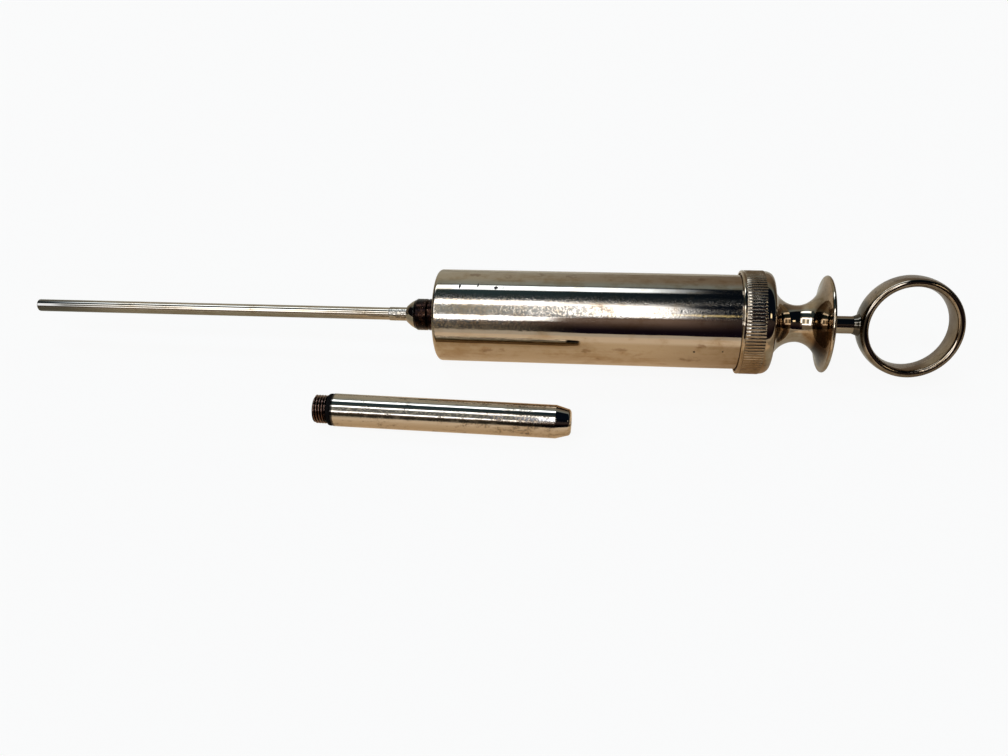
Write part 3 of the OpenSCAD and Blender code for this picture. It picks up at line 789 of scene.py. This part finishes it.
# Bench
# A plain white bench, tilted like the line under the barrel's front edge and the cap's ridges.
# The camera sees white paper; the plate mirrors the warm wood and shade of the room around it.
BENCH_GREY = (0.44, 0.44, 0.44, 1)
PAPER_WHITE = (1, 1, 0.995, 1)
WARM_WOOD = (0.80, 0.605, 0.385, 1)
WARM_SHADE = (0.47, 0.325, 0.19, 1)
PALE_SIDE = (0.53, 0.49, 0.40, 1)
NEAR_GLOW = (0.98, 0.80, 0.60, 1)
PIPE_SHADE = (0.40, 0.37, 0.29, 1)
LEFT_SHADE = (0.38, 0.35, 0.26, 1)
RING_SHADE = (0.38, 0.34, 0.28, 1)
FAR_FRONT = (0.68, 0.61, 0.51, 1)
bpy.ops.object.select_all(action="DESELECT")
bpy.ops.mesh.primitive_plane_add(size=8)
bench = bpy.context.object
bench.name = "bench"
bench.rotation_euler = (0, BENCH_TILT, 0)
bench.location = (0, 0, (-BARREL_R - 50.2 * tan(BENCH_TILT)) * MM)
white = Finish("bench_white")
vector, (x, y, z) = white.place()
grains = white.noise(vector, 3, 3, (1, 1, 1), 0.5, 1)
seen = white.node("ShaderNodeLightPath", out="Is Camera Ray")
mirrored = white.node("ShaderNodeLightPath", out="Is Glossy Ray")
warm = white.mix(x.rise(15, 65), WARM_WOOD, WARM_SHADE)
warm = white.mix(x.rise(62, 72).math("MAXIMUM", y.rise(15, 90)), warm, PALE_SIDE)
warm = white.mix(1 - y.rise(-70, -46), warm, NEAR_GLOW)
warm = white.mix((1 - x.rise(-100, -58)) * y.rise(-36, -22), warm, PIPE_SHADE)
warm = white.mix(1 - x.rise(-112, -88), warm, LEFT_SHADE)
warm = white.mix(x.rise(98, 116), warm, RING_SHADE)
warm = white.mix(1 - y.rise(-230, -110), warm, FAR_FRONT)
white.set(Base_Color=white.mix(mirrored, BENCH_GREY, warm), Roughness=0.85 + 0.1 * grains)
paper = white.node("ShaderNodeEmission", None, {"Color": PAPER_WHITE, "Strength": 1.03})
glow = white.node("ShaderNodeEmission", None, {"Color": warm, "Strength": 1.8})
lit = Term(white, white.shader.outputs[0])
first = white.node("ShaderNodeMixShader", None, {0: mirrored * 0.3, 1: lit, 2: glow})
both = white.node("ShaderNodeMixShader", None, {0: seen * 0.90, 1: first, 2: paper})
white.tree.links.new(both.socket, white.tree.nodes["Material Output"].inputs[0])
white.wear(bench)

# Light
# The room painted by direction: a square frame light above the front, a narrow strip light behind,
# a pale back wall and a dark room. lean is the angle from straight up toward the back, in degrees;
# side is the slope to the right of that.
LAMP = (5.0, 5.8, 7.2, 1)
STRIP_LIGHT = (4.0, 5.0, 6.5, 1)
FRAME_GREY = (0.50, 0.56, 0.58, 1)
FRAME_PALE = (3.6, 4.0, 4.4, 1)
YELLOW_LINE = (1.5, 1.35, 0.75, 1)
RIGHT_GLINT = (3.2, 3.1, 2.6, 1)
VEIL_WHITE = (1.2, 1.25, 1.2, 1)
LOW_GLOW = (0.62, 0.46, 0.40, 1)
WALL_LEFT = (0.52, 0.53, 0.48, 1)
WALL_RIGHT = (0.26, 0.225, 0.185, 1)
WALL_FAR_RIGHT = (0.10, 0.09, 0.075, 1)
WALL_FAR_LEFT = (0.18, 0.16, 0.13, 1)
WALL_LOW = (0.30, 0.46, 0.56, 1)
ROOM_LEFT = (0.04, 0.08, 0.11, 1)
ROOM_RIGHT = (0.004, 0.008, 0.018, 1)
ROOM_LOW_LEFT = (0.27, 0.255, 0.22, 1)
ROOM_LOW_RIGHT = (0.008, 0.005, 0.012, 1)
ROOM_BLACK = (0.006, 0.006, 0.010, 1)
BACKGROUND = (0.975, 0.975, 0.975, 1)


class Studio(Finish):
    """The room's light, painted by direction."""

    def __init__(self, world):
        self.tree = world.node_tree


world = bpy.data.worlds.new("studio")
bpy.context.scene.world = world
world.use_nodes = True
studio = Studio(world)
way = studio.node("ShaderNodeTexCoord", out="Generated")
x, y, z = [studio.node("ShaderNodeSeparateXYZ", values={0: way}, out=i) for i in range(3)]
lean = studio.turn(y, z)
side = x / ((y * y + z * z) ** 0.5 + 0.0001)

right = side.rise(-0.22, 0.14)
wall = studio.mix(right, WALL_LEFT, WALL_RIGHT)
wall = studio.mix(side.rise(0.15, 1.2), wall, WALL_FAR_RIGHT)
wall = studio.mix(1 - side.rise(-1.4, -0.5), wall, WALL_FAR_LEFT)
wall = studio.mix((1 - lean.rise(34, 56)) * 0.5, wall, WALL_LOW)
room = studio.mix(right, ROOM_LEFT, ROOM_RIGHT)
low_room = studio.mix(side.rise(-0.16, -0.08), ROOM_LOW_LEFT, ROOM_LOW_RIGHT)
room = studio.mix(1 - lean.rise(-66, -56), room, low_room)
color = studio.mix(lean.rise(29, 34), room, wall)

frame_left = side.rise(-1.25, -1.15)
fade = 1 - side.rise(0.015, 0.085)
glow = (lean.rise(-86, -52) ** 1.6) * (1 - lean.rise(-48, -44)) * (1 - side.rise(0.04, 0.14) * 0.8)
color = studio.mix(glow * 0.42, color, LOW_GLOW)
veil = 1 - lean.rise(-24, -2)
color = studio.mix(veil * lean.rise(-30, -24) * fade * frame_left * 0.25, color, VEIL_WHITE)
strip = lean.band(16.5, 28, 2.5) * (1 - side.rise(-0.04, 0.10)) * side.rise(-0.9, -0.7)
color = studio.mix(strip, color, STRIP_LIGHT)
centre = side.band(-0.85, -0.09, 0.02) * lean.band(-54.5, -22.3, 1.5)
color = studio.mix(centre, color, FRAME_GREY)
color = studio.mix(centre * side.band(-0.52, -0.34, 0.03) * 0.6, color, FRAME_PALE)
line = lean.band(-41.5, -38.5, 0.8) * side.band(0.04, 0.125, 0.01)
color = studio.mix(line, color, YELLOW_LINE)
far = (1 - side.rise(-1.6, -1.25)) * (1 - lean.rise(60, 80))
color = studio.mix(far, color, ROOM_BLACK)
glint = lean.band(-41, -31, 2) * side.band(0.55, 0.85, 0.04)
color = studio.mix(glint, color, RIGHT_GLINT)

top_bar = lean.band(-23.3, -15.5, 1.5) * (1 - side.rise(-0.09, -0.05)) * frame_left
low_bar = lean.band(-59.5, -53.5, 1.5) * ((1 - side.rise(-0.10, -0.07)) * frame_left)
left_bar = side.band(-1.2, -0.85, 0.05) * lean.band(-60.5, -13.5, 2.5)
block = side.band(-0.075, 0.3, 0.012) * fade * lean.rise(-50, -45) * (1 - lean.rise(-24, -16))
for lamp in (top_bar, low_bar, left_bar, block):
    color = studio.mix(lamp, color, LAMP)
seen = studio.node("ShaderNodeLightPath", out="Is Camera Ray")
color = studio.mix(seen, color, BACKGROUND)
studio.tree.links.new(color.socket, studio.tree.nodes["Background"].inputs["Color"])

# Camera
# Fitted to the edges in the photo. It looks down on the bench from in front.
# The photo is cropped, so the lens's axis misses its middle by a small shift.
bpy.ops.object.camera_add(location=(0.0132707, -0.24805, 0.1862992))
camera = bpy.context.object
camera.name = "camera"
camera.rotation_euler = (radians(45.66636), radians(3.04639), radians(6.39731))
camera.data.sensor_width = 36
camera.data.lens = 31.3828
camera.data.shift_x = -0.01187
camera.data.shift_y = 0.05679
camera.data.clip_start = 0.01
bpy.context.scene.camera = camera
bpy.context.scene.view_settings.view_transform = "Standard"
